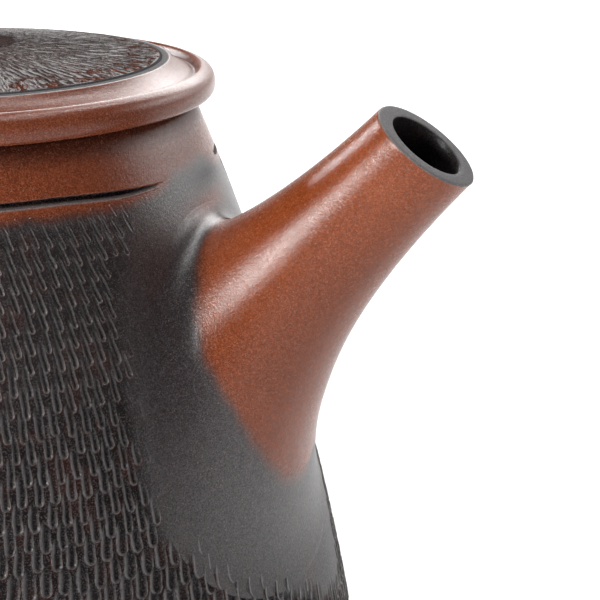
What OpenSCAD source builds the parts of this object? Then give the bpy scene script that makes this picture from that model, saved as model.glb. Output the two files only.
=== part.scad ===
// Lidded stoneware pouring pot with a stout flared spout and a loop handle.
// Frame: origin at the middle of the foot, +Z up, spout towards +X, handle towards -X.
// Each node is one thrown or pulled clay piece; the spout, handle and knob are luted on.

/* [Body] */
// Height of the mouth rim above the foot
body_h = 88.4; // [70:0.1:110]
// Outer radius of the shoulder just under the decorative groove
shoulder_r = 34.23; // [28:0.01:42]
// Height at which the shoulder radius is taken
shoulder_z = 82.85; // [60:0.01:100]
// Outer radius of the belly low on the flank
belly_r = 53.2; // [40:0.1:65]
// Height at which the belly radius is taken
belly_z = 14.1; // [10:0.1:30]
// Radius of the long shallow arc that forms the flank
flank_r = 361; // [200:1:600]
// Radius of the rounded heel between flank and foot
heel_r = 9; // [5:0.5:14]
// Wall thickness of the thrown body
body_wall = 3.4; // [2.5:0.1:5]
// Radius of the mouth bore that takes the lid flange
mouth_r = 28.6; // [24:0.1:32]
// Depth of the cylindrical mouth land
mouth_land_h = 4; // [2:0.5:8]
// Height of the incised groove above the foot
groove_z = 81.9; // [70:0.1:86]
// Width of the incised groove
groove_w = 0.9; // [0.4:0.1:2]
// Depth of the incised groove
groove_d = 0.55; // [0.2:0.05:1]

/* [Spout] */
// Height at which the spout axis crosses the pot axis
spout_z0 = 18.1; // [10:0.1:30]
// Rise of the spout axis above the horizontal
spout_rise = 46.54; // [30:0.01:60]
// Distance along the spout axis from the pot axis to the mouth
spout_len = 95.5; // [80:0.5:110]
// Outer radius of the spout at its mouth
spout_tip_r = 6.87; // [5:0.01:9]
// Radius of the concave arc that flares the spout towards its root
spout_flare_r = 100; // [60:1:160]
// Distance past the mouth at which the flare arc would be narrowest
spout_flare_lead = 2; // [0:0.5:10]
// Wall thickness of the spout
spout_wall = 2; // [1.5:0.1:3]
// Extra tilt of the cut mouth towards the horizontal
spout_cut_tilt = 6.55; // [0:0.05:15]

/* [Strainer holes] */
// Diameter of each pierced pouring hole in the body wall
hole_d = 4.2; // [2:0.1:5]
// Spacing of the pouring holes
hole_pitch = 6.4; // [5:0.1:8]

/* [Handle] */
// Radius of the loop at the middle of the strap
loop_r = 27; // [20:0.5:34]
// Distance of the loop centre from the pot axis
loop_x = 50; // [40:0.5:60]
// Height of the loop centre
loop_z = 46; // [35:0.5:60]
// Width of the strap across the pot
strap_w = 12; // [8:0.5:16]
// Thickness of the strap
strap_t = 7; // [5:0.5:10]
// Angle at which the strap leaves the upper body, from straight up
loop_start = 38; // [20:1:60]
// Sweep of the strap
loop_sweep = 250; // [180:1:280]

/* [Lid] */
// Outer radius of the rolled rim
rim_r = 35; // [30:0.1:40]
// Radius of the rolled bead
bead_r = 1.8; // [1:0.1:3]
// Radius of the textured disc
disc_r = 27.7; // [20:0.1:32]
// Height of the disc edge above the foot
disc_z = 93.75; // [88:0.05:100]
// Rise of the dome above the disc edge
dome_h = 2.2; // [1:0.1:5]
// Outer radius of the narrow bevel around the disc
bevel_r = 29; // [24:0.1:33]
// Drop of the bevel from its inner to its outer edge
bevel_drop = 0.25; // [0.1:0.05:1]
// Radius at the bottom of the channel inside the bead
channel_r = 32.4; // [30:0.1:34]
// Height of the bottom of the channel
channel_z = 91.2; // [89:0.1:93]
// Outer radius of the locating flange
flange_r = 28.1; // [24:0.1:32]
// Thickness of the locating flange
flange_t = 2.6; // [2:0.1:4]
// Depth of the locating flange below the seat
flange_h = 7; // [4:0.5:12]
// Thickness of the lid plate at the middle
lid_plate_t = 4.2; // [3:0.1:6]
// Diameter of the steam vent
vent_d = 2.4; // [1.5:0.1:4]
// Distance of the vent from the lid axis
vent_x = 10.3; // [8:0.1:22]

/* [Knob] */
// Radius of the knob at its widest
knob_r = 6.2; // [5:0.1:12]
// Radius of the knob neck
knob_neck_r = 4; // [3:0.1:8]
// Height of the knob above the dome
knob_h = 11; // [8:0.1:20]

/* [Hidden] */
$fn = 96;
eps = 0.01;

// Flank arc through the shoulder and belly points, bulging outwards
chord = sqrt(pow(belly_r - shoulder_r, 2) + pow(shoulder_z - belly_z, 2));
chord_a = atan2(belly_r - shoulder_r, shoulder_z - belly_z);
chord_off = sqrt(pow(flank_r, 2) - pow(chord / 2, 2));
flank_x = (shoulder_r + belly_r) / 2 - chord_off * cos(chord_a);
flank_z = (shoulder_z + belly_z) / 2 - chord_off * sin(chord_a);
heel_x = flank_x + sqrt(pow(flank_r - heel_r, 2) - pow(heel_r - flank_z, 2));
heel_a = atan2(heel_r - flank_z, heel_x - flank_x);
heel_top_z = heel_r + heel_r * sin(heel_a);
inner_heel_r = heel_r - body_wall;
inner_heel_top_z = heel_r + inner_heel_r * sin(heel_a);

// Spout profile in its own frame, axis up
flare_z = spout_len + spout_flare_lead;
flare_x = spout_tip_r + sqrt(pow(spout_flare_r, 2) - pow(spout_flare_lead, 2));
spout_from = 40;

seat_z = body_h;
dome_r = (pow(disc_r, 2) + pow(dome_h, 2)) / (2 * dome_h);
dome_top_z = disc_z + dome_h;
bead_x = rim_r - bead_r;
bead_z = seat_z + 0.15 + bead_r;

// Half section of a vessel bounded by the flank arc, the heel arc and a flat bottom
module flank_section(arc_r, heel_radius, heel_top, low, high) {
    intersection() {
        translate([flank_x, flank_z])
            circle(r = arc_r, $fn = 720);
        translate([0, heel_top])
            square([90, high - heel_top]);
    }
    translate([heel_x, heel_r])
        circle(r = heel_radius);
    translate([0, low])
        square([heel_x, heel_top - low]);
    polygon([
        [heel_x - 1, heel_r],
        [heel_x, heel_r],
        [heel_x + heel_radius * cos(heel_a), heel_top],
        [heel_x - 1, heel_top + eps]
    ]);
}

// Solid shape of the body without its hollow
module body_envelope() {
    rotate_extrude()
        intersection() {
            flank_section(flank_r, heel_r, heel_top_z, 0, body_h);
            square([90, body_h]);
        }
}

// Spout placed along its rising axis
module on_spout_axis() {
    translate([0, 0, spout_z0])
        rotate([0, 90 - spout_rise, 0])
            children();
}

// Trumpet of revolution, narrower by the given wall
module trumpet(wall, from, to) {
    rotate_extrude()
        difference() {
            translate([0, from])
                square([34, to - from]);
            translate([flare_x, flare_z])
                circle(r = spout_flare_r + wall, $fn = 720);
        }
}

module pot_body() {
    color([0.25, 0.22, 0.21])
    difference() {
        body_envelope();
        // Hollow
        rotate_extrude()
            intersection() {
                flank_section(flank_r - body_wall, inner_heel_r, inner_heel_top_z, body_wall, body_h + 2);
                square([90, body_h + 2]);
            }
        // Mouth land
        translate([0, 0, body_h - mouth_land_h])
            cylinder(r = mouth_r, h = mouth_land_h + 1);
        // Decorative groove
        rotate_extrude()
            translate([shoulder_r - groove_d + 0.33, groove_z - groove_w / 2])
                square([3, groove_w]);
        // Pierced pouring holes
        pouring_holes();
    }
}

module pouring_holes() {
    on_spout_axis() {
        translate([0, 0, 30])
            cylinder(d = hole_d, h = 50);
        for (step = [0 : 5]) {
            rotate([0, 0, step * 60])
                translate([hole_pitch, 0, 30])
                    cylinder(d = hole_d, h = 50);
        }
    }
}

module spout() {
    color([0.55, 0.3, 0.2])
    difference() {
        on_spout_axis()
            trumpet(0, spout_from, spout_len + 2);
        on_spout_axis()
            trumpet(spout_wall, spout_from - 1, spout_len + 3);
        body_envelope();
        // Mouth cut
        on_spout_axis()
            translate([0, 0, spout_len])
                rotate([0, -spout_cut_tilt, 0])
                    translate([-20, -20, 0])
                        cube([40, 40, 20]);
    }
}

module strap_section() {
    translate([loop_r - strap_t / 2, -(strap_w - strap_t) / 2])
        square([strap_t, strap_w - strap_t]);
    translate([loop_r, -(strap_w - strap_t) / 2])
        circle(d = strap_t);
    translate([loop_r, (strap_w - strap_t) / 2])
        circle(d = strap_t);
}

module handle() {
    color([0.35, 0.25, 0.22])
    difference() {
        translate([-loop_x, 0, loop_z])
            rotate([90, 0, 0])
                rotate([0, 0, 90 - loop_start])
                    rotate_extrude(angle = loop_sweep)
                        strap_section();
        body_envelope();
    }
}

module lid_section() {
    difference() {
        union() {
            // Domed disc
            intersection() {
                translate([0, dome_top_z - dome_r])
                    circle(r = dome_r, $fn = 720);
                translate([0, seat_z])
                    square([disc_r, 20]);
            }
            // Bevel and sloping channel
            polygon([
                [disc_r - 1, seat_z],
                [channel_r + 1, seat_z],
                [channel_r + 1, channel_z],
                [channel_r, channel_z],
                [bevel_r, disc_z - 0.1 - bevel_drop],
                [disc_r, disc_z - 0.1],
                [disc_r - 1, disc_z - 0.1]
            ]);
            // Rolled bead
            translate([bead_x, bead_z])
                circle(r = bead_r);
            // Locating flange
            translate([0, seat_z - flange_h])
                square([flange_r, flange_h + 1]);
        }
        // Hollow under the lid
        translate([-1, seat_z - flange_h - 1])
            square([flange_r - flange_t + 1, flange_h + 1 + dome_top_z - lid_plate_t - seat_z]);
        // Keep the section on one side of the axis
        translate([-400, -200])
            square([400, 400]);
    }
}

module lid() {
    color([0.5, 0.28, 0.2])
    difference() {
        rotate_extrude()
            lid_section();
        translate([-vent_x, 0, seat_z])
            cylinder(d = vent_d, h = 20);
    }
}

module lid_knob() {
    color([0.3, 0.26, 0.25])
    difference() {
        rotate_extrude()
            intersection() {
                union() {
                    square([knob_neck_r, dome_top_z + knob_h - 3]);
                    translate([knob_r - 3, dome_top_z + knob_h - 3])
                        circle(r = 3);
                    translate([0, dome_top_z + knob_h - 6])
                        square([knob_r - 3, 6]);
                }
                translate([0, seat_z])
                    square([30, 60]);
            }
        translate([0, 0, dome_top_z - dome_r])
            sphere(r = dome_r, $fn = 360);
    }
}

pot_body();
spout();
handle();
lid();
lid_knob();
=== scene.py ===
"""Looks of a lidded stoneware pouring pot: smoke-blackened chattered body, red-brown spout, rim and shoulder.

Lengths in the shape code are millimetres in the part's frame, turned to metres by clay_mesh(). theta goes
round the pot in degrees, 0 at the spout and 180 at the handle.
"""
import math

import bpy
import numpy as np
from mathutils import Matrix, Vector


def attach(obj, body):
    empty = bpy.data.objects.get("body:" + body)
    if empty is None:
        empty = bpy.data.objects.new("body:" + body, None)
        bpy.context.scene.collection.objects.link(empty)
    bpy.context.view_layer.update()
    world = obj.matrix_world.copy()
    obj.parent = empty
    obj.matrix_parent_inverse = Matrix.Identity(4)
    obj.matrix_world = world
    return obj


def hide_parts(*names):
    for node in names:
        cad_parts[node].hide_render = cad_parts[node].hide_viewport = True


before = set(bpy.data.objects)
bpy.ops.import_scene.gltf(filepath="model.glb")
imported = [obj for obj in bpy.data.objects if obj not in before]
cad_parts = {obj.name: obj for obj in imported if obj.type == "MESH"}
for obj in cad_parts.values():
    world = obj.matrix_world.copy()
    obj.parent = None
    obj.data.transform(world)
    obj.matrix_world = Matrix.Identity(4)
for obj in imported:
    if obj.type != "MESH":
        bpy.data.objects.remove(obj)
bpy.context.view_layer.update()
rng = np.random.default_rng(41)

# ---------------------------------------------------------------- sizes, mm
MM_PER_M = 1000.0
FLANK_R = 361.0            # long arc of the flank
FLANK_X = -302.5785        # its centre
FLANK_Z = -47.0768
HEEL_R = 9.0
WALL = 3.4
BODY_H = 88.4
MOUTH_R = 28.6
LAND_H = 4.0
GROOVE_Z = 81.9
GROOVE_DEPTH = 0.70
GROOVE_LOW, GROOVE_TOP = -0.56, 0.20     # its edges from its middle
RECESS = 0.75              # height of the recess inside the foot ring
BODY_COLS = 3000
LIP_ROWS = 9               # of the lip's profile that keep the outside's tone
HEEL_ROWS = 30             # from the flank to the recess

SPOUT_Z0 = 18.1            # where the spout's axis leaves the pot's
SPOUT_RISE = math.radians(46.54)
SPOUT_LEN = 95.5
CUT_TILT = math.radians(6.55)
BORE_R = 4.87
SPOUT_WALL = 2.0
SPOUT_COLS = 360
FILLET_TOP = 3.2           # reach of the root's fillet at the top, and what is added below and at the sides
FILLET_UNDER, FILLET_SIDE = 8.0, 0.6
FILLET_PULL = 0.62         # how far its curve's handles reach, of that
SKIRT_SINK = 0.9           # how deep the root's hidden edges lie in the body's wall
AXIS = np.array([math.cos(SPOUT_RISE), 0.0, math.sin(SPOUT_RISE)])
UP = np.array([-math.sin(SPOUT_RISE), 0.0, math.cos(SPOUT_RISE)])
SIDE = np.array([0.0, 1.0, 0.0])
SPOUT_ROOT = np.array([0, 0, SPOUT_Z0])
SPOUT_S = (15.0, 21.0, 35.9, 50.8, 65.7, 80.6, 95.5, 99.0)          # places along the spout's axis
SPOUT_R = (34.8, 32.15, 25.52, 19.09, 11.90, 8.12, 6.88, 6.80)      # and its radius there
HOLE_R = 2.1               # the pouring holes: one in the middle and a ring of them
HOLE_PITCH = 6.4
HOLE_FROM, HOLE_TO = 40, 76

DISC_R = 27.7
DISC_Z = 93.75
DOME_H = 2.2
DOME_R = (DISC_R ** 2 + DOME_H ** 2) / (2 * DOME_H)
APEX_Z = DISC_Z + DOME_H
LID_UNDER_Z = 91.7
LID_COLS = 1900
FLANGE_OUT_ROWS = 12       # of the underside's profile, up to the flange's inner side
VENT_X = -10.3
VENT_R = 1.2
VENT_FROM, VENT_TO = 88.0, 98.0
KNOB_H = 11.0
KNOB_FOOT_R = 4.2
KNOB_COLS = 160

HANDLE_X, HANDLE_Z, HANDLE_R = -50.0, 46.0, 27.0         # the circle that the strap follows
HANDLE_FROM, HANDLE_TO = 64, 290                         # degrees on it, both inside the body
HANDLE_W, HANDLE_T = 6.0, 3.45                           # half width and half thickness
HANDLE_SINK = 1.6                                        # how deep its ends go into the body
HANDLE_SPREAD, SPREAD_REACH = 0.42, 2.2                  # how much the ends widen, and over what distance
STRAP_POWER = 0.75                                       # below 1 the section is squarer than an ellipse
HANDLE_ROWS, HANDLE_COLS = 150, 72

HEEL_X = FLANK_X + math.sqrt((FLANK_R - HEEL_R) ** 2 - (HEEL_R - FLANK_Z) ** 2)
HEEL_A = math.atan2(HEEL_R - FLANK_Z, HEEL_X - FLANK_X)

# Tool marks
FAR = 0.4                  # distance to a mark's outline where there is none near
NO_MARK = (FAR, 0.0, 0.0, 0.0)
FIELD_MAX = 1.3
ROW_MARGIN = 0.6           # of the grid's rows beyond a mark's two ends
FIRM_DEPTH = 0.22          # a mark this deep is cut firmly
BURR_OUT, BURR_WIDTH = 0.04, 0.07        # where the torn burr lies, outside the outline
BODY_BURR, LID_BURR = 0.05, 0.07         # and its height
WALL_RISE = 0.14           # height of a wide mark's raised left wall
BODY_WOBBLE, LID_WOBBLE = 0.03, 0.09
MARKS_TOP = 81.0           # rows are measured down from here
MARKS_END = 71.0           # and end this far down
MARKS_PER_TURN = 146
MOST_ROWS = 40
STEADY_ROWS = 7            # the first rows are even
ROW_PITCH = 2.1            # of the first row, growing with the depth over ROW_GROWTH
ROW_GROWTH = 140.0
ROWS_PER_E = 66.67
LID_MARKS_PER_TURN = 150
LID_MARK_RINGS = (7.0, 9.0, 11.0, 13.0, 15.0, 17.0, 19.1, 21.2, 23.2, 25.0)

# Red share of the clay's tone inside the pot, and under the foot and the lid
INSIDE_RED = 0.12
UNDERSIDE_RED = 0.35


def flank(z, radius=FLANK_R):
    """Radius of the body's outer wall at height z, or of the inner wall with a smaller arc."""
    return FLANK_X + np.sqrt(radius ** 2 - (z - FLANK_Z) ** 2)


def dome(r):
    """Height of the lid's disc at radius r."""
    return APEX_Z - DOME_R + np.sqrt(DOME_R ** 2 - np.square(r))


def smooth(a, b, x):
    """Smooth step from 0 at a to 1 at b; a may be the larger."""
    t = np.clip((np.asarray(x, float) - a) / (b - a), 0.0, 1.0)
    return t * t * (3 - 2 * t)


def bell(x, middle, width):
    return np.exp(-((x - middle) / width) ** 2)


def spot(x, x_middle, x_width, z, z_middle, z_width):
    """A soft round spot over two coordinates."""
    return np.exp(-((x - x_middle) / x_width) ** 2 - ((z - z_middle) / z_width) ** 2)


def spline(knots, values):
    """Natural cubic through the knots, as a function."""
    x = np.asarray(knots, float)
    y = np.asarray(values, float)
    n = len(x)
    h = np.diff(x)
    a = np.zeros((n, n))
    b = np.zeros(n)
    a[0, 0] = a[-1, -1] = 1.0
    for i in range(1, n - 1):
        a[i, i - 1:i + 2] = h[i - 1], 2 * (h[i - 1] + h[i]), h[i]
        b[i] = 6 * ((y[i + 1] - y[i]) / h[i] - (y[i] - y[i - 1]) / h[i - 1])
    m = np.linalg.solve(a, b)

    def at(q):
        q = np.clip(q, x[0], x[-1])
        i = np.clip(np.searchsorted(x, q) - 1, 0, n - 2)
        d = q - x[i]
        slope = (y[i + 1] - y[i]) / h[i] - h[i] * (2 * m[i] + m[i + 1]) / 6
        return y[i] + d * (slope + d * (m[i] / 2 + d * (m[i + 1] - m[i]) / (6 * h[i])))
    return at


spout_r = spline(SPOUT_S, SPOUT_R)
TIP_R = float(spout_r(np.array([SPOUT_LEN]))[0])

HASH_XYZ = (73856093, 19349663, 83492791)
HASH_SEED = 2654435761
HASH_MIX = ((13, 1274126177), (15, 668265263))


def noise3(p, scale, seed):
    """Smooth value noise of points p (n, 3), 0 to 1."""
    q = p / scale
    i = np.floor(q).astype(np.int64)
    f = q - i
    f = f * f * (3 - 2 * f)
    total = np.zeros(len(p))
    for dx in (0, 1):
        for dy in (0, 1):
            for dz in (0, 1):
                k = (i[:, 0] + dx) * HASH_XYZ[0] ^ (i[:, 1] + dy) * HASH_XYZ[1]
                k = k ^ (i[:, 2] + dz) * HASH_XYZ[2] ^ seed * HASH_SEED
                for shift, factor in HASH_MIX:
                    k = (k ^ (k >> shift)) * factor & 0x7FFFFFFF
                v = (k & 0xFFFF) / 65535.0
                w = f[:, 0] if dx else 1 - f[:, 0]
                w = w * (f[:, 1] if dy else 1 - f[:, 1])
                w = w * (f[:, 2] if dz else 1 - f[:, 2])
                total += w * v
    return total


# ---------------------------------------------------------------- meshes
def grid_faces(rows, cols, ring=False):
    """Quads of rows of points, closed round each row, and with ring also from the last row to the first."""
    i = np.arange(rows if ring else rows - 1)[:, None]
    j = np.arange(cols)[None, :]
    k = (j + 1) % cols
    after = (i + 1) % rows
    return np.stack([i * cols + j, i * cols + k, after * cols + k, after * cols + j], -1).reshape(-1, 4)


def lathe_faces(rows, cols):
    """Quads of a turned surface, and the two fans to the pole points that follow its last row."""
    j = np.arange(cols)
    k = (j + 1) % cols
    pole = rows * cols
    last = pole - cols
    tris = np.vstack([np.stack([np.full(cols, pole), k, j], -1),
                      np.stack([np.full(cols, pole + 1), last + j, last + k], -1)])
    return grid_faces(rows, cols), tris


def tangents(line):
    d = np.gradient(np.asarray(line, float), axis=0)
    return d / np.linalg.norm(d, axis=-1, keepdims=True)


def turned(profile, cols, relief=None):
    """Points (rows, cols, 3) of a profile [(r, z)] turned about Z, raised by relief along its normal."""
    profile = np.asarray(profile, float)
    theta = -math.pi + 2 * math.pi * np.arange(cols) / cols
    r = np.repeat(profile[:, :1], cols, 1)
    z = np.repeat(profile[:, 1:], cols, 1)
    if relief is not None:
        d = tangents(profile)
        r = r - relief * d[:, 1:]
        z = z + relief * d[:, :1]
    return np.stack([r * np.cos(theta), r * np.sin(theta), z], -1)


def arc(cx, cz, radius, start, stop, count):
    """Points of an arc from one angle to another, in degrees."""
    t = np.radians(np.linspace(start, stop, count))
    return [(cx + radius * math.cos(a), cz + radius * math.sin(a)) for a in t]


def resample(line, step):
    """Smooth curve through the points of a line (Catmull-Rom), about step apart."""
    p = np.asarray(line, float)
    out = []
    for i in range(len(p) - 1):
        a = p[max(i - 1, 0)]
        b = p[i]
        c = p[i + 1]
        d = p[min(i + 2, len(p) - 1)]
        n = max(1, int(round(np.linalg.norm(c - b) / step)))
        for t in np.arange(n) / n:
            q = 0.5 * (2 * b + (c - a) * t + (2 * a - 5 * b + 4 * c - d) * t * t
                       + (3 * b - a - 3 * c + d) * t ** 3)
            out.append((float(q[0]), float(q[1])))
    out.append((float(p[-1][0]), float(p[-1][1])))
    return out


def flip(faces):
    return np.asarray(faces)[:, ::-1]


def no_marks(count):
    return np.tile(NO_MARK, (count, 1))


def clay_mesh(name, points, quads, tris, tone, field=None):
    """A mesh object from points in mm, with its clay tone and its tool marks as colour attributes."""
    mesh = bpy.data.meshes.new(name)
    loops = np.concatenate([np.asarray(quads, np.int32).ravel(), np.asarray(tris, np.int32).ravel()])
    starts = np.concatenate([np.arange(len(quads)) * 4, len(quads) * 4 + np.arange(len(tris)) * 3])
    mesh.vertices.add(len(points))
    mesh.vertices.foreach_set("co", (np.asarray(points, float) / MM_PER_M).astype(np.float32).ravel())
    mesh.loops.add(len(loops))
    mesh.loops.foreach_set("vertex_index", loops)
    mesh.polygons.add(len(starts))
    mesh.polygons.foreach_set("loop_start", starts.astype(np.int32))
    mesh.polygons.foreach_set("use_smooth", np.ones(len(starts), bool))
    mesh.update(calc_edges=True)
    mesh.validate()
    for label, values in (("clay", tone), ("marks", no_marks(len(points)) if field is None else field)):
        attribute = mesh.attributes.new(label, "FLOAT_COLOR", "POINT")
        attribute.data.foreach_set("color", np.asarray(values, np.float32).ravel())
    piece = bpy.data.objects.new(name, mesh)
    bpy.context.scene.collection.objects.link(piece)
    return piece


def pierce(piece, radius, holes, sides=40):
    """Cuts round holes through a piece, each from one point to another, in mm."""
    t = 2 * math.pi * np.arange(sides) / sides
    j = np.arange(sides)
    k = (j + 1) % sides
    points, quads, tris = [], [], []
    for start, stop in holes:
        way = (stop - start) / np.linalg.norm(stop - start)
        across = np.cross(way, (0.0, 1.0, 0.0))
        across /= np.linalg.norm(across)
        ring = radius * (np.cos(t)[:, None] * across + np.sin(t)[:, None] * np.cross(across, way))
        base = len(points) * (2 * sides + 2)
        points.append(np.vstack([start + ring, stop + ring, [start, stop]]))
        quads.append(base + np.stack([j, k, sides + k, sides + j], -1))
        tris.append(base + np.stack([np.full(sides, 2 * sides), k, j], -1))
        tris.append(base + np.stack([np.full(sides, 2 * sides + 1), sides + j, sides + k], -1))
    points = np.vstack(points)
    cutter = clay_mesh("cutter", points, flip(np.vstack(quads)), flip(np.vstack(tris)),
                       np.zeros((len(points), 4)))
    modifier = piece.modifiers.new("holes", "BOOLEAN")
    modifier.operation = "DIFFERENCE"
    modifier.solver = "MANIFOLD"
    modifier.object = cutter
    bpy.context.view_layer.update()
    depsgraph = bpy.context.evaluated_depsgraph_get()
    cut = bpy.data.meshes.new_from_object(piece.evaluated_get(depsgraph))
    piece.modifiers.clear()
    old = piece.data
    piece.data = cut
    bpy.data.meshes.remove(old)
    bpy.data.objects.remove(cutter)


# ---------------------------------------------------------------- tool marks
def cut_marks(height, edge, row_pos, marks, wobble):
    """Cuts round-ended marks into a grid that wraps across its columns.

    marks are (column, head row position, radius there, lean, length, half width, depth), lengths in mm.
    Each mark runs from its shallow narrow head towards rising row_pos and ends in a round bowl. Where marks
    overlap, the nearest outline counts, except that a wide mark hides the ones under it as a scale does.
    edge gets, for the mark that counts, the distance to its outline (mm, negative inside), how firmly it is
    cut, how near its end it is, and how much of its raised left wall lies there (wide marks only)."""
    cols = height.shape[1]
    step = 2 * math.pi / cols
    rank = np.full(height.shape, FAR)
    for column, head, radius, lean, length, half, depth in marks:
        lo = np.searchsorted(row_pos, head - ROW_MARGIN)
        hi = np.searchsorted(row_pos, head + length * math.cos(lean) + ROW_MARGIN)
        if hi - lo < 3:
            continue
        reach = int((abs(length * math.sin(lean)) + half + 0.5) / (radius * step)) + 2
        centre = int(round(column))
        j = np.arange(centre - reach, centre + reach + 1)
        xx, yy = np.meshgrid((j - column) * step * radius, row_pos[lo:hi] - head)
        along = yy * math.cos(lean) + xx * math.sin(lean)
        across = xx * math.cos(lean) - yy * math.sin(lean) + wobble * np.sin(yy * 2.6 + column)
        t = np.clip(along / length, 0, 1)
        beyond = np.maximum(along - (length - half), 0.0) + np.maximum(-along, 0.0)
        gap = np.hypot(across, beyond) - half * (0.35 + 0.65 * smooth(0.0, 0.4, t))
        firm = smooth(0.04, 0.50, t) * min(depth / FIRM_DEPTH, 1.0)
        tail = smooth(length - 4.5 * half, length - half, along)
        wide = float(smooth(0.25, 0.5, half))
        wall = smooth(-0.05, -0.7, across / half) * smooth(0.10, -0.02, gap) * wide * smooth(0.1, 0.4, t)
        order = gap - 3.0 * wide * firm * smooth(0.12, 0.0, gap)
        firm = firm * (1 - 0.75 * wide * smooth(-0.2, 0.4, across / half) * (1 - tail))
        jj = j % cols
        rows = slice(lo, hi)
        deep = depth * (0.15 + 0.85 * smooth(0.05, 0.6, t))
        height[rows, jj] = np.minimum(height[rows, jj], -deep * smooth(0.03, -0.7 * half, gap))
        first = order < rank[rows, jj]
        rank[rows, jj] = np.where(first, order, rank[rows, jj])
        mark = np.stack([gap, firm, tail, wall], -1)
        edge[rows, jj] = np.where(first[..., None], mark, edge[rows, jj])


def torn_burr(edge):
    """The raised burr just outside the outline of each mark."""
    return bell(edge[..., 0], BURR_OUT, BURR_WIDTH) * edge[..., 1]


def mark_field(edge, rows, where, poles=2):
    """The marks attribute of a turned piece: the edge array of cut_marks at the rows where it belongs."""
    cols = edge.shape[1]
    field = np.full((rows, cols, 4), NO_MARK)
    field[where] = edge
    return np.vstack([np.clip(field, -FAR, FIELD_MAX).reshape(rows * cols, 4), no_marks(poles)])


PANEL_Z = (10.0, 22.0, 36.0, 40.0, 43.0, 50.0, 60.0, 70.0, 75.0, 79.0, 81.0)
PANEL_W = (0.0, 14.0, 21.0, 27.0, 30.0, 31.0, 31.0, 30.0, 26.0, 23.0, 17.0)
WIPED_R = 12.5             # patches wiped round the handle's ends
WIPED_Z = (67, 23)
WIPED_WALL_R = 42          # about the flank's radius there
DEGREES_PER_RADIAN = 57.3


def panel_inside(theta, z):
    """How far (mm) a point lies inside the smooth panel under the spout; below 0 it is outside."""
    theta = np.asarray(theta, float)
    width = np.interp(z, PANEL_Z, PANEL_W)
    side = (width - np.abs(theta - 2)) * 0.8
    low = 26.3 - np.where(theta < 0, 0.55, 0.37) * theta
    return np.minimum(side, (z - low) * 0.9)


def handle_clear(theta, z):
    """Distance (mm) into the smooth patches wiped round the two ends of the handle."""
    away = (180 - np.abs(theta)) / DEGREES_PER_RADIAN * WIPED_WALL_R
    upper, lower = (WIPED_R - np.hypot(away, z - end_z) for end_z in WIPED_Z)
    return np.maximum(upper, lower)


def body_marks():
    """The body's tool marks, row by row from the shoulder down."""
    marks = []
    phase = 0.0
    for k in range(MOST_ROWS):
        steady = k < STEADY_ROWS
        jitter = 0.0 if steady else rng.normal(0, 0.06)
        head = ROW_GROWTH * (math.exp((k - 1.0 + jitter) / ROWS_PER_E) - 1)
        spacing = ROW_PITCH * (1 + max(head, 0) / ROW_GROWTH)
        length = spacing * np.interp(head, (6.0, 40.0), (1.9, 1.45))
        low = head + length
        if low > MARKS_END:
            break
        z_low = MARKS_TOP - low
        radius = float(flank(z_low))
        pitch = 2 * math.pi * radius / MARKS_PER_TURN
        usual_lean = np.interp(z_low, (20, 40, 60, 74, 80), (-8, -6, 4, 16, 20))
        shift = math.tan(math.radians(usual_lean)) * spacing / pitch
        phase -= 0.40 - shift + rng.normal(0, 0.02 if steady else 0.08)
        for i in range(MARKS_PER_TURN):
            a = (i + phase + rng.normal(0, 0.045)) / MARKS_PER_TURN * 360 - 180
            a = (a + 180) % 360 - 180
            into = max(float(panel_inside(a, z_low + 1.0)), float(handle_clear(a, z_low + 1.0)))
            into += rng.normal(0, 0.8)
            strength = (1 - smooth(-2.2, 0.6, into)) * smooth(0.5, 6.0, low)
            strength = float(strength * smooth(MARKS_END, 66, low))
            if strength < 0.06:
                continue
            lean = math.radians(usual_lean + 4 * math.exp(-abs(into + 3) / 5.0) + rng.normal(0, 1.6))
            long_mm = length * (0.88 + 0.24 * rng.random()) * (0.6 + 0.4 * strength)
            start = low - long_mm * math.cos(lean) + rng.normal(0, 0.14)
            drift = long_mm * math.sin(lean) / radius / (2 * math.pi) * BODY_COLS
            column = (a + 180) / 360 * BODY_COLS - drift
            usual_half = np.interp(z_low, (28, 44, 72), (0.44, 0.28, 0.155)) * pitch
            half = usual_half * (0.85 + 0.3 * rng.random()) * (0.7 + 0.3 * strength)
            depth = np.interp(z_low, (35, 72), (0.26, 0.17)) * (0.75 + 0.5 * rng.random()) * strength
            marks.append((column, start, radius, lean, long_mm, half, depth))
    return marks


def lid_marks():
    """The lid's radial cuts, ring by ring from the middle out."""
    marks = []
    for head in LID_MARK_RINGS:
        phase = rng.random()
        for i in range(LID_MARKS_PER_TURN):
            a = (i + phase + rng.normal(0, 0.10)) / LID_MARKS_PER_TURN * 360 - 180
            length = rng.uniform(3.4, 5.4) * (0.6 + 0.4 * min(head / 13.0, 1.0))
            begin = head + rng.normal(0, 0.5)
            length = min(length, DISC_R - 0.15 - begin)
            if length < 1.0:
                continue
            lean = math.radians(6 + 14 * math.sin(math.radians(a * 2 + 40)) + rng.normal(0, 4.0))
            radius = begin + length
            drift = 0.5 * length * math.sin(lean) / radius / (2 * math.pi) * LID_COLS
            column = (a + 180) / 360 * LID_COLS - drift
            half = 0.17 * (radius / 24) ** 0.7 * rng.uniform(0.75, 1.3)
            marks.append((column, begin, radius, lean, length, half, rng.uniform(0.12, 0.22)))
    return marks


# ---------------------------------------------------------------- clay tone
# A point's tone is four shares: red-brown, dark (smoked clay, and painted shade in places), pale burr
# (painted highlight on edges), and slate grey.
def off_wall(points):
    """How far (mm) a point lies out from the flank, along the radius."""
    return np.hypot(points[:, 0], points[:, 1]) - flank(np.clip(points[:, 2], 0, 88))


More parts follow.
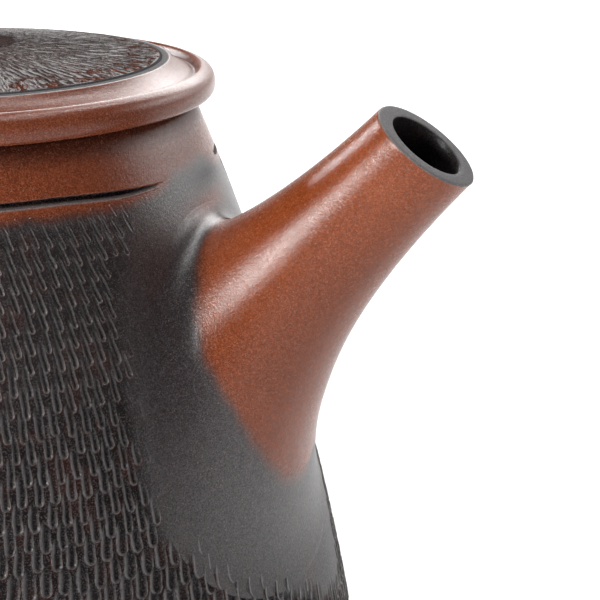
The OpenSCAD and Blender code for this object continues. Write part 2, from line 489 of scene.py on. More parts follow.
def spout_patch(points):
    """1 on the red-brown spout and its root, 0 on the blackened body; second value is the dark halo."""
    x, y, z = points.T
    p = (points - SPOUT_ROOT) @ UP
    half_p = np.where(p > -2, 12.9, 14.5)
    wave = 0.10 * (noise3(points, 6.0, 3) - 0.5) + 0.10 * (noise3(points, 2.4, 4) - 0.5)
    half_y = np.where(y < 0, 11.4 - 1.5 * smooth(3.0, -9.0, p), 10.6)
    m = np.sqrt((y / half_y) ** 2 + ((p + 2) / half_p) ** 2) + wave
    front = smooth(20.0, 34.0, x)
    away = off_wall(points)
    red = (1 - smooth(0.88, 1.14, m - 0.11 * np.clip(away - 1.5, 0, 20))) * front
    halo = bell(m, 1.08, 0.17) * front * smooth(3.0, -2.0, y) * smooth(5, 1, away)
    halo = halo * smooth(12, 6, p) * smooth(-15, -9, p)
    blush = 0.80 * spot(y, 2.5, 6.0, z, 77.2, 1.5) * front
    return np.maximum(red, blush), halo


def clay_tone(points):
    """Tone of the fired clay at points in mm, from its red-brown and dark zones."""
    x, y, z = points.T
    theta = np.degrees(np.arctan2(y, x))
    red, halo = spout_patch(points)
    wave = 0.9 * (noise3(points, 7.0, 8) - 0.5) + 0.5 * (noise3(points, 2.0, 9) - 0.5)
    # Shoulder band above the groove, smoked towards the spout side
    edge = 80.3 + 2.0 * smooth(-16, -2, theta) * smooth(18, 6, theta)
    band = smooth(-1.1, 1.1, z + wave * 1.3 - edge)
    band = band * (1 - 0.12 * smooth(-14, 4, theta) * smooth(70, 50, theta))
    redness = np.maximum(red, band)
    # Dark: painted shade under the lid's rim; also darker low on the body, and in two patches over the
    # spout's root
    on_wall = smooth(2.5, 1.0, off_wall(points))
    painted_rim_shade = smooth(85.0, 87.6, z) * (np.hypot(x, y) > 31) * on_wall
    tone = np.zeros((len(points), 4), np.float32)
    tone[:, 0] = np.clip(redness, 0, 1)
    dark = halo
    for patch in (0.75 * painted_rim_shade,
                  0.74 * smooth(50, 24, z) * (1 - redness),
                  0.7 * spot(theta, 8, 10, z, 80.3, 1.8) * on_wall,
                  0.85 * spot(y, 2.8, 2.6, z, 75.4, 1.2) * (x > 20)):
        dark = np.maximum(dark, patch)
    tone[:, 1] = np.clip(dark, 0, 1)
    return tone


# ---------------------------------------------------------------- body
def groove_shape(z, theta):
    """The incised groove, stopped short beside the spout: depth (negative), burr (painted highlight), grey
    lip, floor (painted shadow).
    """
    theta = np.asarray(theta, float)
    open_left = smooth(-10.5, -24.0, theta)
    open_right = smooth(18.5, 21.5, theta)
    gate = np.maximum(open_left, open_right)
    cut_in = smooth(0.0, 0.12, gate)
    droop = 0.7 * smooth(-40, -13, theta) * smooth(52, 24, theta)
    d = z - (GROOVE_Z + 0.25 - droop)
    low = GROOVE_LOW * (0.35 + 0.65 * gate)
    top = GROOVE_TOP * (0.4 + 0.6 * gate)
    cut = -GROOVE_DEPTH * smooth(low, low + 0.42, d) * smooth(top + 0.08, top, d) * gate ** 0.4
    ridge = np.exp(-((d - low + 0.08) / 0.07) ** 2) * cut_in
    slate = smooth(low - 0.05, low + 0.05, d) * smooth(low + 0.42, low + 0.32, d) * cut_in
    # The painted shadow on the groove's floor, under its upper edge
    floor_shade = smooth(low + 0.30, low + 0.42, d) * smooth(top + 0.10, top + 0.02, d) * cut_in
    return cut + BODY_BURR * ridge, ridge, slate, floor_shade


def body_profile():
    """Profile from the middle of the inner floor, over the lip, to the middle of the foot; and the flank's
    heights and place in it."""
    fine_z = np.concatenate([np.arange(86.6, 83.0, -0.45), np.arange(83.0, 80.6, -0.08),
                             np.arange(80.6, 10.6, -0.165)])
    flank_rows = [(float(flank(z)), float(z)) for z in fine_z]
    land_z = BODY_H - LAND_H
    lip_out = float(flank(BODY_H))
    inner = [(r, WALL) for r in np.linspace(1.0, 38.0, 10)]
    inner += arc(HEEL_X, HEEL_R, HEEL_R - WALL, -90, math.degrees(HEEL_A), 10)
    inner += [(float(flank(z, FLANK_R - WALL)), float(z)) for z in np.linspace(14.0, land_z - 0.4, 26)]
    inner += [(MOUTH_R - 0.05, land_z), (MOUTH_R, land_z + 0.3)]
    inner += [(MOUTH_R, BODY_H - 1.6), (MOUTH_R, BODY_H - 0.5)]
    inner += arc(MOUTH_R + 0.45, BODY_H - 0.45, 0.45, 180, 90, 5)[1:]
    inner += [(lip_out - 1.4, BODY_H)]
    inner += arc(lip_out - 0.55, BODY_H - 0.6, 0.6, 90, 8, 6)
    heel = arc(HEEL_X, HEEL_R, HEEL_R, math.degrees(HEEL_A), -84, 26)[1:]
    foot = [(HEEL_X - 1.0, 0.04), (HEEL_X - 2.2, 0.0), (HEEL_X - 6.5, 0.0), (HEEL_X - 7.4, 0.12),
            (HEEL_X - 8.2, 0.7)]
    foot += [(r, RECESS) for r in np.linspace(HEEL_X - 10, 1.0, 10)]
    where = slice(len(inner), len(inner) + len(flank_rows))
    return np.array(inner + flank_rows + heel + foot), fine_z, where


def build_body():
    cols = BODY_COLS
    profile, fine_z, where = body_profile()
    rows = len(profile)
    height = np.zeros((len(fine_z), cols))
    edge = np.full((len(fine_z), cols, 4), NO_MARK)
    cut_marks(height, edge, MARKS_TOP - fine_z, body_marks(), BODY_WOBBLE)
    z = fine_z[:, None]
    theta = (-180 + 360 * np.arange(cols) / cols)[None, :]
    groove, groove_burr_highlight, groove_lip, groove_shade = groove_shape(z, theta)
    clear = np.maximum(np.minimum(panel_inside(theta, z), 30), handle_clear(theta, z))
    textured = smooth(1.5, -2.5, clear) * smooth(80.6, 78.0, z) * smooth(10.8, 13.0, z)
    below = smooth(MARKS_TOP, 79.6, z)
    edge[..., 1] *= below
    relief = np.zeros((rows, cols))
    relief[where] = height * below + BODY_BURR * torn_burr(edge) + WALL_RISE * edge[..., 3] + groove
    points = turned(profile, cols, relief).reshape(-1, 3)

    tone = clay_tone(points).reshape(rows, cols, 4)
    band = tone[where]
    # Painted shadow on the groove's floor: no red there, and dark
    band[..., 0] *= np.clip(1 - 1.3 * groove_shade, 0, 1)
    textured_dark = (0.75 + 0.17 * smooth(70, 52, z)) * textured
    band[..., 1] = np.clip(np.maximum(band[..., 1], textured_dark) + groove_shade, 0, 1)
    # Pale share: painted highlight on the groove's burr, fainter on its grey lip
    band[..., 2] = np.clip(0.9 * groove_burr_highlight + 0.3 * groove_lip, 0, 1)
    band[..., 3] = np.clip(groove_lip, 0, 1)
    tone[:where.start - LIP_ROWS, :, 0] = INSIDE_RED
    tone[where.stop + HEEL_ROWS:, :, 0] = UNDERSIDE_RED
    points = np.vstack([points, [[0, 0, WALL], [0, 0, RECESS]]])
    tone = np.vstack([tone.reshape(-1, 4), [[INSIDE_RED, 0, 0, 0], [UNDERSIDE_RED, 0, 0, 0]]])
    return points, *lathe_faces(rows, cols), tone, mark_field(edge, rows, where)


# ---------------------------------------------------------------- spout
def spout_point(s, phi, shrink=0.0):
    """Point of the spout's wall at s along its axis and phi round it, moved in by shrink."""
    r = spout_r(s) - shrink
    return (SPOUT_ROOT + np.multiply.outer(s, AXIS)
            + (r * np.cos(phi))[..., None] * UP + (r * np.sin(phi))[..., None] * SIDE)


def body_gap(p):
    """Distance of a point outside the body's flank, about normal to it."""
    slope = (p[..., 2] - FLANK_Z) / FLANK_R
    return (np.hypot(p[..., 0], p[..., 1]) - flank(np.clip(p[..., 2], 0, 88))) * np.sqrt(1 - slope ** 2)


def onto_body(p, sink=0.0):
    """Nearest point of the flank, sunk a little."""
    radial = p[..., :2] / np.linalg.norm(p[..., :2], axis=-1, keepdims=True)
    rho = np.hypot(p[..., 0], p[..., 1])
    a = np.arctan2(p[..., 2] - FLANK_Z, rho - FLANK_X)
    r = FLANK_X + (FLANK_R - sink) * np.cos(a)
    z = FLANK_Z + (FLANK_R - sink) * np.sin(a)
    return np.concatenate([radial * r[..., None], z[..., None]], -1)


def build_spout():
    cols = SPOUT_COLS
    phi = 2 * math.pi * np.arange(cols) / cols
    # Where each straight run of the trumpet meets the body
    s = np.linspace(20, 78, 1200)
    grid_s, grid_p = np.meshgrid(s, phi)
    gap = body_gap(spout_point(grid_s.ravel(), grid_p.ravel())).reshape(grid_s.shape)
    hit = np.array([s[len(s) - 1 - np.argmax(~row[::-1])] for row in gap > 0])
    hit = np.convolve(np.concatenate([hit[-12:], hit, hit[:12]]), np.ones(9) / 9, "same")[12:-12]
    # Fillet reach: tight over the top of the root, broad underneath
    fillet = FILLET_TOP + FILLET_UNDER * smooth(0.1, -1.0, np.cos(phi)) + FILLET_SIDE * np.abs(np.sin(phi))
    start = hit + fillet
    # Outer wall, from just under the cut down to the fillet
    lip = SPOUT_LEN - 0.22 - TIP_R * np.cos(phi) * math.tan(CUT_TILT)
    rows = [spout_point(lip + (start - lip) * t, phi) for t in np.linspace(0, 1, 90)]
    last = rows[-1]
    direction = last - rows[-2]
    direction /= np.linalg.norm(direction, axis=-1, keepdims=True)
    # Foot of the skirt: out from the root along the body's surface
    root = onto_body(spout_point(hit, phi))
    axis_foot = onto_body((SPOUT_ROOT + AXIS * 60.6)[None])[0]
    out = root - axis_foot
    level = np.stack([root[:, 0], root[:, 1], np.zeros(cols)], -1)
    level /= np.linalg.norm(level, axis=1, keepdims=True)
    slope = (root[:, 2] - FLANK_Z) / FLANK_R
    normal = level * np.sqrt(1 - slope ** 2)[:, None]
    normal[:, 2] += slope
    out -= (out * normal).sum(1, keepdims=True) * normal
    out /= np.linalg.norm(out, axis=1, keepdims=True)
    foot = onto_body(root + out * fillet[:, None])
    pull = (fillet * FILLET_PULL)[:, None]
    c1 = last + direction * pull
    c2 = onto_body(foot - out * pull)
    for t in np.linspace(0, 1, 26)[1:]:
        rows.append((1 - t) ** 3 * last + 3 * t * (1 - t) ** 2 * c1
                    + 3 * t * t * (1 - t) * c2 + t ** 3 * foot)
    rows += [onto_body(foot + out * 0.25, 0.10), onto_body(foot, SKIRT_SINK)]
    # Inner wall, from the bore's root up to the mouth
    bore_hit = hit - 1.5
    lip_in = SPOUT_LEN - 0.15 - BORE_R * np.cos(phi) * math.tan(CUT_TILT)
    tip_fix = TIP_R - SPOUT_WALL - BORE_R
    inner_rows = [spout_point(bore_hit + (lip_in - bore_hit) * t, phi, SPOUT_WALL + tip_fix * t)
                  for t in np.linspace(0, 1, 50)]
    inner_rows[0] = onto_body(inner_rows[0], SKIRT_SINK)
    # The cut and its rounded edges
    cut_u = UP * math.cos(CUT_TILT) - AXIS * math.sin(CUT_TILT)
    cut_n = AXIS * math.cos(CUT_TILT) + UP * math.sin(CUT_TILT)
    cut_c = SPOUT_ROOT + AXIS * SPOUT_LEN

    def ring(radius, depth):
        return (cut_c + radius * np.cos(phi)[:, None] * cut_u / math.cos(CUT_TILT)
                + radius * np.sin(phi)[:, None] * SIDE - cut_n * depth)
    lip_rows = [ring(BORE_R + 0.02, 0.12), ring(BORE_R + 0.07, 0.03), ring(BORE_R + 0.16, 0.0),
                ring(BORE_R + 0.7, 0.0), ring(TIP_R - 0.7, 0.0),
                ring(TIP_R - 0.20, 0.0), ring(TIP_R - 0.08, 0.03), ring(TIP_R - 0.01, 0.12)]
    points = np.stack(inner_rows + lip_rows + rows)
    count = len(points)
    first_lip = len(inner_rows)
    first_out = first_lip + len(lip_rows)
    tone = clay_tone(points.reshape(-1, 3)).reshape(count, cols, 4)
    tone[:first_out] = 0.0
    tone[:first_lip, :, 1] = 0.5
    tone[first_lip:first_out, :, 3] = 1.0
    # A painted highlight along the mouth's outer edge
    tone[first_out - 2:first_out, :, 2] = 1.0
    return points.reshape(-1, 3), grid_faces(count, cols, ring=True), tone.reshape(-1, 4)


# ---------------------------------------------------------------- lid
def lid_profile():
    """Profile from the middle of the top, over the rim, to the middle of the underside, in three parts."""
    disc_r = np.concatenate([np.linspace(1.0, 7.0, 12), np.arange(7.12, DISC_R - 0.1, 0.12)])
    disc = [(float(r), float(dome(r))) for r in disc_r]
    channel = [(DISC_R - 0.06, DISC_Z - 0.01), (DISC_R + 0.02, DISC_Z - 0.08), (DISC_R + 0.05, DISC_Z - 0.22),
               (DISC_R + 0.16, DISC_Z - 0.26), (DISC_R + 0.4, DISC_Z - 0.16), (DISC_R + 0.75, DISC_Z - 0.19),
               (28.85, 93.5), (28.98, 93.53), (29.08, 93.5), (29.16, 93.4)]
    cove = [(29.5, 93.08), (29.9, 92.76), (30.3, 92.49), (30.7, 92.26), (31.1, 92.06), (31.5, 91.88),
            (31.8, 91.68), (32.1, 91.52)]
    bead = [(32.35, 91.54), (32.50, 91.74), (32.66, 92.02), (32.88, 92.32), (33.12, 92.50), (33.36, 92.55),
            (33.65, 92.47), (33.95, 92.33), (34.24, 92.14), (34.50, 91.90), (34.72, 91.58), (34.88, 91.18),
            (34.97, 90.72), (34.99, 90.2), (34.90, 89.65), (34.68, 89.24), (34.35, 88.98), (33.95, 88.84),
            (33.5, 88.78), (33.1, 88.78), (32.7, 88.74)]
    under = [(32.2, 88.52), (31.6, 88.42), (29.0, 88.42), (28.35, 88.3), (28.1, 88.0), (28.1, 84.5),
             (28.05, 81.9), (27.8, 81.5), (27.2, 81.4), (26.2, 81.4), (25.7, 81.55), (25.5, 82.0),
             (25.5, 88.0), (25.3, 90.6), (24.6, 91.35), (23.4, 91.6)]
    under += [(r, LID_UNDER_Z) for r in np.linspace(21.0, 1.0, 8)]
    return disc, resample(channel + cove + bead, 0.12), under


def build_lid():
    cols = LID_COLS
    disc, rim, under = lid_profile()
    profile = np.array(disc + rim + under)
    rows = len(profile)
    count = len(disc)
    on_disc = slice(0, count)
    on_rim = slice(count, count + len(rim))
    radii = profile[on_disc, 0]
    height = np.zeros((count, cols))
    edge = np.full((count, cols, 4), NO_MARK)
    cut_marks(height, edge, radii, lid_marks(), LID_WOBBLE)
    burr = torn_burr(edge)
    # The middle is bare, and the cuts fade just inside the disc's edge
    land = smooth(7.0, 10.0, radii)[:, None]
    edge_wear = smooth(DISC_R - 0.1, DISC_R - 0.5, radii)[:, None]
    relief = np.zeros((rows, cols))
    relief[on_disc] = (height + LID_BURR * burr) * edge_wear * (0.35 + 0.65 * land)
    edge[..., 1] *= edge_wear * (0.3 + 0.7 * land)
    points = turned(profile, cols, relief).reshape(-1, 3)

    tone = np.zeros((rows, cols, 4))
    speck = noise3(points[:count * cols], 1.1, 21).reshape(count, cols)
    worn_red = smooth(DISC_R - 6.0, DISC_R - 0.3, radii)[:, None] * smooth(0.45, 0.75, speck)
    tone[on_disc, :, 0] = np.clip(worn_red + 0.15, 0, 1)
    # Smoked dark over the disc, darker on the bare middle as painted shade round the knob's foot, and faintly
    # pale there as a painted sheen
    tone[on_disc, :, 1] = 0.95 - 0.16 * land
    tone[on_disc, :, 2] = 0.1 * (1 - land)
    # The channel with a painted shadow in its step, its grey outer lip with a pale burr, and the red rim
    # beyond
    r = profile[on_rim, 0]
    tone[on_rim, :, 0] = 0.90 * smooth(28.75, 29.05, r)[:, None]
    tone[on_rim, :, 1] = (bell(r, DISC_R + 0.1, 0.12) * 0.9)[:, None]
    tone[on_rim, :, 2] = 0.6 * bell(r, 28.95, 0.10)[:, None]
    tone[on_rim, :, 3] = smooth(28.95, 28.80, r)[:, None]
    tone[on_rim.stop:, :, 0] = 0.8
    tone[on_rim.stop + FLANGE_OUT_ROWS:, :, 0] = UNDERSIDE_RED
    points = np.vstack([points, [[0, 0, APEX_Z], [0, 0, LID_UNDER_Z]]])
    tone = np.vstack([tone.reshape(-1, 4), [[0, 0, 0.2, 0], [UNDERSIDE_RED, 0, 0, 0]]])
    return points, *lathe_faces(rows, cols), tone, mark_field(edge, rows, on_disc)


def build_knob():
    top = APEX_Z + KNOB_H
    base = float(dome(KNOB_FOOT_R))
    key = [(0.4, top), (1.6, top - 0.05), (3.2, top - 0.35), (4.6, top - 1.0), (5.6, top - 2.0),
           (6.1, top - 3.3), (6.05, top - 4.4), (5.5, top - 5.4), (4.6, top - 6.2), (3.9, top - 7.0),
           (3.55, top - 8.2), (3.55, top - 9.3), (3.9, top - 10.3), (4.5, base + 0.35),
           (5.3, float(dome(5.3)) + 0.05), (5.6, float(dome(5.6)) - 0.1)]
    profile = resample(key, 0.25)
    points = turned(profile, KNOB_COLS).reshape(-1, 3)
    points = np.vstack([points, [[0, 0, top], [0, 0, base - 0.2]]])
    tone = np.zeros((len(points), 4))
    tone[:, 0] = 0.55 * smooth(top - 3.0, top - 0.8, points[:, 2]) + 0.1
    return points, *lathe_faces(len(profile), KNOB_COLS), tone


# ---------------------------------------------------------------- handle
def build_handle():
    """Pulled strap handle: a loop at the back with its two ends spread and smoothed onto the body."""
    rows, cols = HANDLE_ROWS, HANDLE_COLS
    angles = np.radians(np.linspace(HANDLE_FROM, HANDLE_TO, 400))
    line = np.stack([HANDLE_X + HANDLE_R * np.cos(angles), HANDLE_Z + HANDLE_R * np.sin(angles)], -1)
    gap = np.array([float(body_gap(np.array([[x, 0.0, z]]))[0]) for x, z in line])
    keep = gap > -HANDLE_SINK
    line = line[keep]
    gap = gap[keep]
    length = np.concatenate([[0], np.cumsum(np.linalg.norm(np.diff(line, axis=0), axis=1))])
    number = np.arange(len(line))
    u = np.linspace(0, 1, rows)
    pick = np.interp(u, length / length[-1], number)
    line = np.stack([np.interp(pick, number, line[:, 0]), np.interp(pick, number, line[:, 1])], -1)
    gap = np.interp(pick, number, gap)
    along = tangents(line)
    normal = np.stack([along[:, 1], -along[:, 0]], -1)
    phi = 2 * math.pi * np.arange(cols) / cols
    spread = 1 + HANDLE_SPREAD * np.exp(-np.clip(gap, 0, None) / SPREAD_REACH)
    width = HANDLE_W * (1 - 0.10 * np.sin(math.pi * u)) * spread
    thick = HANDLE_T * (1 - 0.08 * np.sin(math.pi * u)) * spread
    shape_w = np.sign(np.sin(phi)) * np.abs(np.sin(phi)) ** STRAP_POWER
    shape_t = np.sign(np.cos(phi)) * np.abs(np.cos(phi)) ** STRAP_POWER
    points = np.zeros((rows, cols, 3))
    points[..., 0] = line[:, :1] + normal[:, :1] * thick[:, None] * shape_t
    points[..., 1] = width[:, None] * shape_w
    points[..., 2] = line[:, 1:] + normal[:, 1:] * thick[:, None] * shape_t
    points = points.reshape(-1, 3)
    smoke = noise3(points, 14.0, 31) * 0.6 + noise3(points, 5.0, 32) * 0.4
    tone = np.zeros((len(points) + 2, 4))
    tone[:-2, 0] = 0.85 * smooth(0.42, 0.66, smoke) * np.repeat(smooth(0.0, 6.0, gap), cols)
    points = np.vstack([points, [[line[0, 0], 0, line[0, 1]], [line[-1, 0], 0, line[-1, 1]]]])
    return points, *lathe_faces(rows, cols), tone


# ---------------------------------------------------------------- materials
# Colours of the clay, linear; pairs are the two ends of a cloudy mix
COOL_RED = ((0.148, 0.0345, 0.0135), (0.184, 0.0440, 0.0180))
WARM_RED = ((0.152, 0.0295, 0.0055), (0.196, 0.0400, 0.0080))
SMOKED = ((0.022, 0.0150, 0.0158), (0.033, 0.0240, 0.0255))
DARKEST = ((0.0085, 0.0072, 0.0075), (0.030, 0.0110, 0.0085))
WIPE_DARK = (0.012, 0.0095, 0.0095)
LIT_WALL_GREY = (0.105, 0.099, 0.103)
END_SHADOW_RED = (0.050, 0.012, 0.008)
SLATE = (0.070, 0.065, 0.068)
GRAIN_SPARKLE_GREY = (0.075, 0.067, 0.070)
GRAIN_SPARKLE_RED = (0.34, 0.14, 0.085)
GLINT = (0.22, 0.17, 0.14)
WARM_FROM, WARM_TO = 0.036, 0.052    # metres along X, from the body to the spout
# Sizes of the textures, in cells per metre
FINE, SAND, GRIT, STREAK, CLOUD = 5200.0, 2100.0, 8600.0, 260.0, 70.0
WIPE_LINES = (2400.0, 2400.0, 90.0)
# Bump of the marks' lips and of the grain: strength, and distance in metres
LIP_BUMP = (0.8, 0.00008)
GRAIN_BUMP = (0.7, 0.00004)


def clay(name, chalk=0.175, sheen=0.64, polish=0.0):
    """Fired stoneware: red-brown to smoke-black by the clay attribute, with sandy grain and pale edges to the
    marks.

    chalk is the brightness of those edges, paler torn clay and a painted highlight; sheen the specular level;
    polish comes off the roughness."""
    material = bpy.data.materials.new(name)
    material.use_nodes = True
    nodes = material.node_tree.nodes
    links = material.node_tree.links
    shader = nodes["Principled BSDF"]
    place = nodes.new("ShaderNodeTexCoord").outputs["Object"]

    def feed(node, pairs):
        """Sets or links each input of a node."""
        for value, slot in pairs:
            if isinstance(value, (int, float)):
                node.inputs[slot].default_value = value
            elif isinstance(value, tuple):
                node.inputs[slot].default_value = (*value, 1.0)
            else:
                links.new(value, node.inputs[slot])

    def noise(scale, detail=2.0, rough=0.5, where=place):
        n = nodes.new("ShaderNodeTexNoise")
        feed(n, ((where, "Vector"), (scale, "Scale"), (detail, "Detail"), (rough, "Roughness")))
        return n.outputs["Fac"]

    def ramp(value, low, high, a=0.0, b=1.0):
        n = nodes.new("ShaderNodeMapRange")
        feed(n, ((value, "Value"), (low, "From Min"), (high, "From Max"), (a, "To Min"), (b, "To Max")))
        return n.outputs["Result"]

    def mix(fac, a, b, blend="MIX"):
        n = nodes.new("ShaderNodeMix")
        n.data_type = "RGBA"
        n.blend_type = blend
        feed(n, ((fac, 0), (a, 6), (b, 7)))
        return n.outputs[2]

    def maths(op, a, b):
        n = nodes.new("ShaderNodeMath")
        n.operation = op
        feed(n, ((a, 0), (b, 1)))
        return n.outputs[0]

    def times(a, b):
        return maths("MULTIPLY", a, b)

    def plus(a, b):
        return maths("ADD", a, b)

    def minus(a, b):
        return maths("SUBTRACT", a, b)

    def attribute(label):
        """The three channels and the alpha of a colour attribute."""
        n = nodes.new("ShaderNodeAttribute")
        n.attribute_name = label
        return *split(n.outputs["Color"]), n.outputs["Alpha"]

    def split(colour):
        n = nodes.new("ShaderNodeSeparateColor")
        links.new(colour, n.inputs["Color"])
        return n.outputs[0], n.outputs[1], n.outputs[2]

    redness, darkness, burr, slate = attribute("clay")
    edge, firm, tail, wall = attribute("marks")
    lines = nodes.new("ShaderNodeMapping")
    lines.inputs["Scale"].default_value = WIPE_LINES
    links.new(place, lines.inputs["Vector"])
    cells = nodes.new("ShaderNodeTexVoronoi")
    cells.inputs["Scale"].default_value = GRIT
    links.new(place, cells.inputs["Vector"])
    along = nodes.new("ShaderNodeSeparateXYZ")
    links.new(place, along.inputs[0])

    fine = noise(FINE, 3.0, 0.6)
    sand = noise(SAND, 2.0, 0.6)
    cloud = noise(CLOUD, 3.0, 0.55)
    streak = noise(STREAK)
    wiped = noise(1.0, where=lines.outputs["Vector"])
    grit, rare, patchy = split(cells.outputs["Color"])

    # Tool marks: a pale edge on both sides of a dark cut, paler torn clay and a painted highlight on the burr
    outline = times(ramp(edge, -0.06, 0.00), ramp(edge, 0.10, 0.05))
    torn = times(outline, times(firm, ramp(tail, 0.0, 1.0, 0.30, 1.15)))
    hollow = times(ramp(edge, 0.02, -0.05), firm)
    broken = ramp(sand, 0.36, 0.60, 0.12, 1.15)
    # Painted shadow, tinted red, just beyond each mark's end below its burr
    under = times(times(ramp(edge, 0.06, 0.11), ramp(edge, 0.24, 0.16)), times(tail, firm))
    inner = times(ramp(edge, -0.08, -0.27), 0.85)
    ground = times(darkness, minus(1.0, times(hollow, minus(0.9, inner))))
    ground_twice = times(ground, ground)
    # Pale edges: paler torn clay and a painted highlight on the burrs
    pale = maths("MAXIMUM", times(torn, broken), burr)

    # Colour; the red-brown turns warmer along the spout
    patches = ramp(cloud, 0.3, 0.7)
    warmth = ramp(along.outputs["X"], WARM_FROM, WARM_TO)
    red = mix(warmth, mix(patches, *COOL_RED), mix(patches, *WARM_RED))
    base = mix(redness, mix(patches, *SMOKED), red)
    base = mix(times(ramp(wiped, 0.35, 0.65, 0.0, 0.45), minus(1.0, redness)), base, WIPE_DARK)
    base = mix(times(ground, 0.9), base, mix(ramp(streak, 0.50, 0.72), *DARKEST))
    # Painted light: a wide mark's raised left wall is lighter grey, as lit from the left
    base = mix(times(wall, 0.9), base, LIT_WALL_GREY)
    # Dark red painted shadow just beyond the marks' ends
    base = mix(times(under, 0.8), base, END_SHADOW_RED)
    base = mix(slate, base, SLATE)
    base = mix(times(pale, 0.9), base, (chalk, 0.90 * chalk, 0.86 * chalk))
    base = mix(1.0, base, mix(ramp(fine, 0.30, 0.70), (0.85,) * 3, (1.15,) * 3), "MULTIPLY")
    base = mix(1.0, base, mix(grit, (0.66,) * 3, (1.34,) * 3), "MULTIPLY")
    # Pale sand grain, partly painted sparkle, then rare painted glints
    grain_sparkle = times(ramp(grit, 0.70, 1.0), minus(0.85, times(redness, 0.60)))
    base = mix(grain_sparkle, base, mix(redness, GRAIN_SPARKLE_GREY, GRAIN_SPARKLE_RED))
    base = mix(times(ramp(rare, 0.965, 0.985), 0.34), base, GLINT)
    links.new(base, shader.inputs["Base Color"])

    # Gloss
    rough = ramp(sand, 0.25, 0.75, 0.21 - polish, 0.30 - polish)
    rough = plus(rough, ramp(redness, 1.0, 0.0, 0.0, 0.10))
    rough = plus(rough, times(ground_twice, 0.13))
    rough = plus(rough, times(slate, 0.22))
    links.new(rough, shader.inputs["Roughness"])
    dull = plus(times(ground_twice, 0.72), times(slate, 0.55))
    gloss = minus(sheen, plus(dull, times(redness, 0.29)))
    links.new(times(gloss, ramp(patchy, 0.0, 1.0, 0.6, 1.4)), shader.inputs["Specular IOR Level"])
    shader.inputs["Specular Tint"].default_value = (1.0, 0.995, 0.99, 1.0)

    # Fine relief: the marks' lips, then the grain
    lips = nodes.new("ShaderNodeBump")
    feed(lips, ((LIP_BUMP[0], "Strength"), (LIP_BUMP[1], "Distance"),
                (minus(torn, times(hollow, 0.7)), "Height")))
    grain_height = plus(plus(fine, times(sand, 0.8)), times(wiped, 0.25))
    bump = nodes.new("ShaderNodeBump")
    feed(bump, ((GRAIN_BUMP[0], "Strength"), (GRAIN_BUMP[1], "Distance"), (grain_height, "Height"),
                (lips.outputs["Normal"], "Normal")))
    links.new(bump.outputs["Normal"], shader.inputs["Normal"])
    return material


def dress(piece, material, node, body):
    """Gives a piece its material, hangs it on its body's empty, and hides the CAD part that it stands in for.
    """
    piece.data.materials.clear()
    piece.data.materials.append(material)
    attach(piece, body)
    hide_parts(node)


points, quads, tris, tone, field = build_body()
body = clay_mesh("clay_body", points, flip(quads), flip(tris), tone, field)
ring_angles = np.radians(range(0, 360, 60))
spots = [0 * UP] + [HOLE_PITCH * (math.cos(a) * UP + math.sin(a) * SIDE) for a in ring_angles]
pierce(body, HOLE_R, [(SPOUT_ROOT + at + HOLE_FROM * AXIS, SPOUT_ROOT + at + HOLE_TO * AXIS) for at in spots])
dress(body, clay("body clay"), "pot_body", "pot")

points, quads, tone = build_spout()
spout = clay_mesh("clay_spout", points, quads, np.zeros((0, 3)), tone)
dress(spout, clay("spout clay"), "spout", "pot")

points, quads, tris, tone, field = build_lid()
lid = clay_mesh("clay_lid", points, flip(quads), flip(tris), tone, field)
pierce(lid, VENT_R, [(np.array([VENT_X, 0, VENT_FROM]), np.array([VENT_X, 0, VENT_TO]))])
dress(lid, clay("lid clay", chalk=0.25, sheen=0.57, polish=0.03), "lid", "lid")

points, quads, tris, tone = build_knob()
knob = clay_mesh("clay_knob", points, flip(quads), flip(tris), tone)
dress(knob, clay("knob clay"), "lid_knob", "lid")

points, quads, tris, tone = build_handle()
handle = clay_mesh("clay_handle", points, quads, tris, tone)
dress(handle, clay("handle clay"), "handle", "pot")

# ---------------------------------------------------------------- stage
HALF_FLOOR = 6.0
PAPER = 0.96
floor_mesh = bpy.data.meshes.new("floor")
floor_mesh.from_pydata([(-HALF_FLOOR, -HALF_FLOOR, 0), (HALF_FLOOR, -HALF_FLOOR, 0),
                        (HALF_FLOOR, HALF_FLOOR, 0), (-HALF_FLOOR, HALF_FLOOR, 0)], [], [(0, 1, 2, 3)])
floor = bpy.data.objects.new("floor", floor_mesh)
bpy.context.scene.collection.objects.link(floor)
paper = bpy.data.materials.new("paper")
paper.use_nodes = True
paper_inputs = paper.node_tree.nodes["Principled BSDF"].inputs
paper_inputs["Base Color"].default_value = (PAPER, PAPER, PAPER, 1)
paper_inputs["Roughness"].default_value = 0.9
paper_inputs["Specular IOR Level"].default_value = 0.1
floor_mesh.materials.append(paper)

# The camera that was fitted to the photo
HEADING = math.radians(111.623)
PITCH = math.radians(18.279)
CAMERA_AT = (0.115417, -0.165877, 0.12529)
LENS, SENSOR = 90, 36


def seen(right, away, up):
    """A place in metres from the pot's foot, as the camera sees it: to its right, away from it, and up."""
    return (right * math.sin(HEADING) + away * math.cos(HEADING),
            -right * math.cos(HEADING) + away * math.sin(HEADING), up)


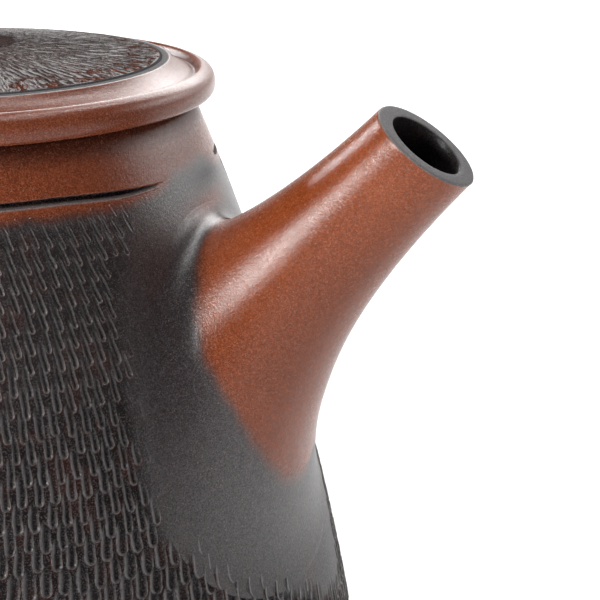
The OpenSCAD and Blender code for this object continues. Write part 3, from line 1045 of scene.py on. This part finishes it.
# A studio that is bright behind the pot and dark in front of it
SKY_DARK, SKY_BRIGHT = 0.04, 1.55
world = bpy.data.worlds.new("studio")
bpy.context.scene.world = world
world.use_nodes = True
sky = world.node_tree.nodes
sky_links = world.node_tree.links
sky_place = sky.new("ShaderNodeTexCoord")
sky_dot = sky.new("ShaderNodeVectorMath")
sky_dot.operation = "DOT_PRODUCT"
sky_dot.inputs[1].default_value = Vector(seen(0.45, 0.88, 0.10))
sky_links.new(sky_place.outputs["Generated"], sky_dot.inputs[0])
sky_range = sky.new("ShaderNodeMapRange")
sky_range.interpolation_type = "SMOOTHSTEP"
sky_range.inputs["From Min"].default_value = 0.50
sky_range.inputs["From Max"].default_value = 1.0
sky_range.inputs["To Min"].default_value = SKY_DARK
sky_range.inputs["To Max"].default_value = SKY_BRIGHT
sky_links.new(sky_dot.outputs["Value"], sky_range.inputs["Value"])
sky_links.new(sky_range.outputs["Result"], sky["Background"].inputs["Strength"])
sky["Background"].inputs["Color"].default_value = (1, 1, 1, 1)


def softbox(name, place, aim, width, height, watts):
    """A rectangular area light, width by height in metres, turned to its aim."""
    light = bpy.data.lights.new(name, "AREA")
    light.shape = "RECTANGLE"
    light.size = width
    light.size_y = height
    light.energy = watts
    light.spread = math.radians(180)
    lamp = bpy.data.objects.new(name, light)
    lamp.location = place
    lamp.rotation_euler = (Vector(aim) - Vector(place)).to_track_quat("-Z", "Y").to_euler()
    lamp.visible_camera = False
    bpy.context.scene.collection.objects.link(lamp)


SHOULDER = (0.03, 0, 0.07)
softbox("key", seen(-0.64, -0.535, 0.415), SHOULDER, 0.62, 0.085, 11.4)
softbox("side", seen(-0.66, 0.57, 0.42), SHOULDER, 0.08, 0.26, 3.0)
softbox("top", seen(0.38, 0.50, 1.21), seen(0.1, 0.05, 0.0), 0.05, 0.8, 5.5)
softbox("top_front", seen(0.35, -0.12, 1.25), seen(0.1, 0.0, 0.0), 0.05, 0.6, 3.4)
softbox("sweep", seen(0.30, 1.2, 0.78), seen(0.2, 0.3, 0.0), 1.2, 0.6, 15.0)
softbox("right", seen(1.1, 0.5, 0.5), seen(0.25, 0.0, 0.0), 0.8, 0.4, 4.2)

# ---------------------------------------------------------------- camera
camera_data = bpy.data.cameras.new("camera")
camera_data.lens = LENS
camera_data.sensor_width = SENSOR
camera_data.clip_start = 0.01
camera = bpy.data.objects.new("camera", camera_data)
camera.location = CAMERA_AT
level = math.cos(PITCH)
forward = Vector((math.cos(HEADING) * level, math.sin(HEADING) * level, -math.sin(PITCH)))
camera.rotation_euler = forward.to_track_quat("-Z", "Y").to_euler()
bpy.context.scene.collection.objects.link(camera)
bpy.context.scene.camera = camera
bpy.context.scene.view_settings.view_transform = "Standard"
